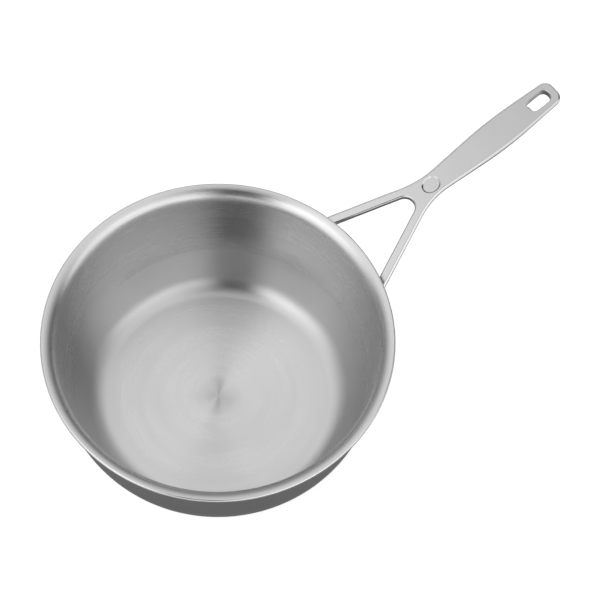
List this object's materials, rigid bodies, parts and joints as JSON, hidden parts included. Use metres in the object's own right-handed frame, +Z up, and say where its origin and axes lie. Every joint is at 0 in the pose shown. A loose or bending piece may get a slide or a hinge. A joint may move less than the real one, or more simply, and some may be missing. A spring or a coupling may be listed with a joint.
{
  "type": "saucier pan",
  "caption": "Round-bottomed saucepan with curved flared walls, pouring lip and a long fork-ended handle with a hanging slot, in brushed clad steel.",
  "frame": {"origin": "centre of the flat base, on its underside", "axes": "+Z up out of the base along the bowl's axis, +X from the bowl's axis along the handle"},
  "size_m": [0.4324, 0.25, 0.1281],
  "materials": {
    "brushed_cooking_steel": "spun brushed in circles",
    "satin_outer_steel": "satin",
    "bond_alloy": "rolled, seen only at the cut edge",
    "aluminium_core": "rolled, seen only at the cut edge",
    "cast_handle_steel": "fine satin casting",
    "weld_steel": "ground weld"
  },
  "bodies": {
    "root": {"cooking_surface_ply": "brushed_cooking_steel", "upper_bond_ply": "bond_alloy", "core_ply": "aluminium_core", "lower_bond_ply": "bond_alloy", "outer_ply": "satin_outer_steel", "handle": "cast_handle_steel", "weld_bead_left": "weld_steel", "weld_bead_right": "weld_steel"}
  },
  "joints": []
}
